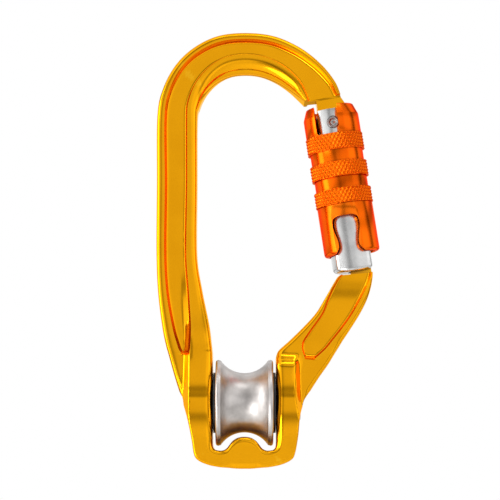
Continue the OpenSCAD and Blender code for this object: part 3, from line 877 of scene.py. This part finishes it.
build_spring("sleeve_coil", "sleeve_spring", 5.95, 0.4, -26.45, -12.4, 6)
build_spring("gate_coil", "gate_spring", 1.3, 0.28, -23.95, -13.05, 9, x=-1.8)

CARRIED_OVER = {
    "sheave_bush_left": BRONZE, "sheave_bush_right": BRONZE,
    "thrust_washer_left": POLYMER, "thrust_washer_right": POLYMER,
    "gate_plunger": STEEL, "sleeve_guide_ring": POLYMER, "sleeve_snap_ring": SPRING, "sleeve_stop_pin": STEEL,
}
for node_name, material in CARRIED_OVER.items():
    for slot_place in frame["nodes"][node_name].material_slots:
        slot_place.material = material


# ---------------------------------------------------------------- floor, light and camera

def build_stage():
    """A pale round floor below the object."""
    mat, _, _ = new_material("pale studio floor")
    surfaced(mat, {"Base Color": linear("#F4F4F2"), "Roughness": 0.8})
    radius, sides, drop = 0.9, 96, 0.35
    z = CAD_BOX[0].z - drop
    mesh = bpy.data.meshes.new("floor")
    mesh.from_pydata([(x, y, z) for x, y in disc_outline(radius, sides)], [], [tuple(range(sides))])
    floor = bpy.data.objects.new("floor", mesh)
    floor.data.materials.append(mat)
    bpy.context.scene.collection.objects.link(floor)


# Brightness of the studio round the object, by degrees from the camera side (positive towards +X), and by height
# from -1 straight down to 1 straight up.
WALLS = [(-180, 0.5), (-100, 0.47), (-89, 0.5), (-70, 0.62), (-45, 0.62), (-24, 0.46), (-17, 0.22), (-8, 0.19),
         (-5, 0.39), (8, 0.4), (16, 0.48), (40, 0.48), (60, 0.44), (84, 0.42), (90, 0.08), (99, 0.08), (103, 0.5),
         (180, 0.5)]
TIERS = [(-1.0, 0.95), (-0.5, 1.1), (-0.3, 1.15), (-0.24, 0.45), (-0.15, 0.45), (-0.08, 1.0), (0.3, 1.03),
         (0.37, 0.4), (0.46, 0.4), (0.53, 1.1), (0.7, 0.9), (1.0, 0.85)]


def build_world():
    """A white studio. Seen straight on it is plain white. In the metal's shine it is a light tent with paler and
    darker strips, as the lists above say, which give the curved metal its bands."""
    bpy.context.scene.view_settings.view_transform = "Standard"
    world = bpy.data.worlds.new("studio")
    bpy.context.scene.world = world
    world.use_nodes = True
    tree = world.node_tree
    tree.nodes.clear()
    way = add(tree, "ShaderNodeTexCoord").outputs["Generated"]
    way = add(tree, "ShaderNodeSeparateXYZ", {"Vector": way}).outputs
    flip = add(tree, MATH, {"operation": "MULTIPLY", 0: way["Y"], 1: -1.0}).outputs[0]
    turn = add(tree, MATH, {"operation": "ARCTAN2", 0: way["X"], 1: flip}).outputs[0]
    around = add(tree, RANGE, {"Value": turn, "From Min": -math.pi, "From Max": math.pi}).outputs["Result"]
    height = add(tree, RANGE, {"Value": way["Z"], "From Min": -1.0, "From Max": 1.0}).outputs["Result"]
    walls = add(tree, RAMP, {"Fac": around, "stops": [((a + 180) / 360, grey(v)) for a, v in WALLS]})
    tiers = add(tree, RAMP, {"Fac": height, "stops": [((h + 1) / 2, grey(v)) for h, v in TIERS]})
    both = add(tree, "ShaderNodeVectorMath", {
        "operation": "MULTIPLY", 0: walls.outputs["Color"], 1: tiers.outputs["Color"],
    })
    room = add(tree, BACKGROUND, {"Color": both.outputs["Vector"], "Strength": 2.3}).outputs[0]
    wall = add(tree, BACKGROUND, {"Color": linear("#FFFFFF"), "Strength": 1.0}).outputs[0]
    seen = add(tree, "ShaderNodeLightPath").outputs["Is Camera Ray"]
    mix = add(tree, "ShaderNodeMixShader", {0: seen, 1: room, 2: wall}).outputs[0]
    add(tree, "ShaderNodeOutputWorld", {"Surface": mix})


def soft_box(name, place, aim, size, power):
    """A rectangular light that faces aim."""
    data = bpy.data.lights.new(name, "AREA")
    data.shape = "RECTANGLE"
    data.size, data.size_y = size
    data.energy = power
    light = bpy.data.objects.new(name, data)
    light.location = place
    light.rotation_euler = (Vector(aim) - Vector(place)).to_track_quat("-Z", "Y").to_euler()
    bpy.context.scene.collection.objects.link(light)


def build_lights():
    middle = (0, 0, -0.055)
    soft_box("left box", (-0.7, -0.17, 0.03), middle, (0.3, 0.7), 2.0)
    soft_box("low box", (-0.35, -0.42, -0.4), middle, (0.28, 0.45), 1.8)
    soft_box("right box", (0.62, -0.3, 0.05), middle, (0.35, 0.6), 0.3)
    soft_box("top box", (0.1, -0.3, 0.6), middle, (0.6, 0.14), 0.8)


def build_camera():
    """Level with the sheave and looking slightly up at the bow."""
    target = Vector((1.7, 0, -55.05)) * MM
    elevation = math.radians(-6.5)
    distance = 0.53
    seen_width = 0.1546
    data = bpy.data.cameras.new("camera")
    data.sensor_width = 36
    data.lens = data.sensor_width * distance / seen_width
    cam = bpy.data.objects.new("camera", data)
    cam.location = target + distance * Vector((0, -math.cos(elevation), math.sin(elevation)))
    cam.rotation_euler = (target - cam.location).to_track_quat("-Z", "Y").to_euler()
    data.clip_start, data.clip_end = 0.01, 20
    bpy.context.scene.collection.objects.link(cam)
    bpy.context.scene.camera = cam


build_stage()
build_world()
build_lights()
build_camera()
